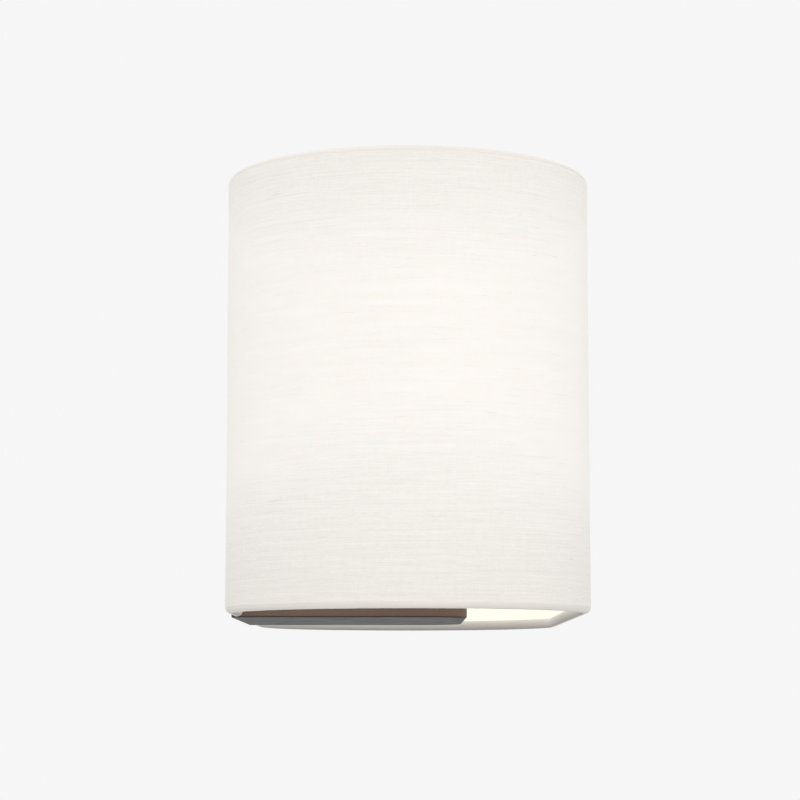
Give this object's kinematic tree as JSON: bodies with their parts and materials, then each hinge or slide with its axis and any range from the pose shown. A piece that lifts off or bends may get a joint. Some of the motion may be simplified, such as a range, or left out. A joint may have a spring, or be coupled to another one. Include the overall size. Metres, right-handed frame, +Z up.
{
  "type": "fabric shade wall light",
  "caption": "Oval fabric drum shade, open at the back, hung on a post over a bronze box bracket with a lampholder on each side.",
  "frame": {"origin": "midway between the two wall fixing holes, on the back face of the wall strap", "axes": "+Z up, +X along the wall and the long way of the oval, +Y into the wall; the light stands out towards -Y"},
  "size_m": [0.35, 0.145, 0.173],
  "materials": {
    "linen": "woven linen laminated to a clear liner",
    "hem_linen": "rolled linen hem",
    "liner_pvc": "satin white film",
    "white_wire": "white stove enamel on steel wire",
    "bronze_powder_coat": "satin bronze powder coat on steel",
    "bronze_turned": "satin bronze finish on knurled brass",
    "zinc_steel": "bright zinc plate",
    "grommet_rubber": "moulded black rubber",
    "holder_phenolic": "moulded white thermoset",
    "holder_ceramic": "unglazed steatite",
    "contact_brass": "stamped brass",
    "opal_globe": "opal diffuser",
    "lamp_plastic": "moulded white shell",
    "board_aluminium": "white solder mask on aluminium",
    "driver_board": "green circuit board",
    "nickel_cap": "rolled nickel-plated cap",
    "insulator_glass": "black insulating glass",
    "solder": "solder-tipped contact",
    "block_nylon": "moulded natural nylon",
    "lead_brown": "silicone sleeve",
    "lead_blue": "silicone sleeve",
    "lead_green": "green and yellow sleeve"
  },
  "bodies": {
    "bracket": {"arm_flanges": "bronze_powder_coat", "arm_lock_nuts": "zinc_steel", "block_nut": "zinc_steel", "bracket_lid": "bronze_powder_coat", "bracket_tray": "bronze_powder_coat", "cable_grommet": "grommet_rubber", "dome_collars": "bronze_powder_coat", "dome_nuts": "zinc_steel", "earth_lead": "lead_green", "earth_nut": "zinc_steel", "earth_tag": "contact_brass", "holder_contact_left": "contact_brass", "holder_contact_right": "contact_brass", "holder_dome_left": "holder_phenolic", "holder_dome_right": "holder_phenolic", "holder_insert_left": "holder_ceramic", "holder_insert_right": "holder_ceramic", "holder_shell_left": "contact_brass", "holder_shell_right": "contact_brass", "holder_skirt_left": "holder_phenolic", "holder_skirt_right": "holder_phenolic", "lamp_arm_left": "bronze_powder_coat", "lamp_arm_right": "bronze_powder_coat", "lid_screws": "zinc_steel", "live_leads": "lead_brown", "neutral_leads": "lead_blue", "post_flange": "bronze_powder_coat", "post_lock_nut": "zinc_steel", "post_stop_nut": "zinc_steel", "shade_post": "bronze_powder_coat", "side_screws": "bronze_powder_coat", "terminal_block": "block_nylon", "terminal_clamps": "contact_brass", "terminal_screws": "zinc_steel", "wall_strap": "zinc_steel"},
    "shade": {"shade_fabric": "linen", "shade_liner": "liner_pvc", "top_hem": "hem_linen", "lower_hem": "hem_linen", "top_ring": "white_wire", "lower_frame": "white_wire", "spider_hub": "white_wire", "spider_arms": "white_wire"},
    "finial": {"finial": "bronze_turned"},
    "lamp_left": {"lamp_board_left": "board_aluminium", "lamp_cap_left": "nickel_cap", "lamp_driver_left": "driver_board", "lamp_eyelet_left": "solder", "lamp_globe_left": "opal_globe", "lamp_housing_left": "lamp_plastic", "lamp_insulator_left": "insulator_glass"},
    "lamp_right": {"lamp_board_right": "board_aluminium", "lamp_cap_right": "nickel_cap", "lamp_driver_right": "driver_board", "lamp_eyelet_right": "solder", "lamp_globe_right": "opal_globe", "lamp_housing_right": "lamp_plastic", "lamp_insulator_right": "insulator_glass"}
  },
  "joints": [
    {"name": "shade_lift", "type": "slide", "parent": "bracket", "child": "shade", "axis": [0, 0, 1], "range_m": [0, 0.17]},
    {"name": "finial_turn", "type": "hinge", "parent": "shade", "child": "finial", "pos_m": [0, -0.073, 0.1488], "axis": [0, 0, 1], "continuous": true},
    {"name": "lamp_left_draw", "type": "slide", "parent": "bracket", "child": "lamp_left", "axis": [0, 0, 1], "range_m": [0, 0.02]},
    {"name": "lamp_right_draw", "type": "slide", "parent": "bracket", "child": "lamp_right", "axis": [0, 0, 1], "range_m": [0, 0.02]}
  ]
}
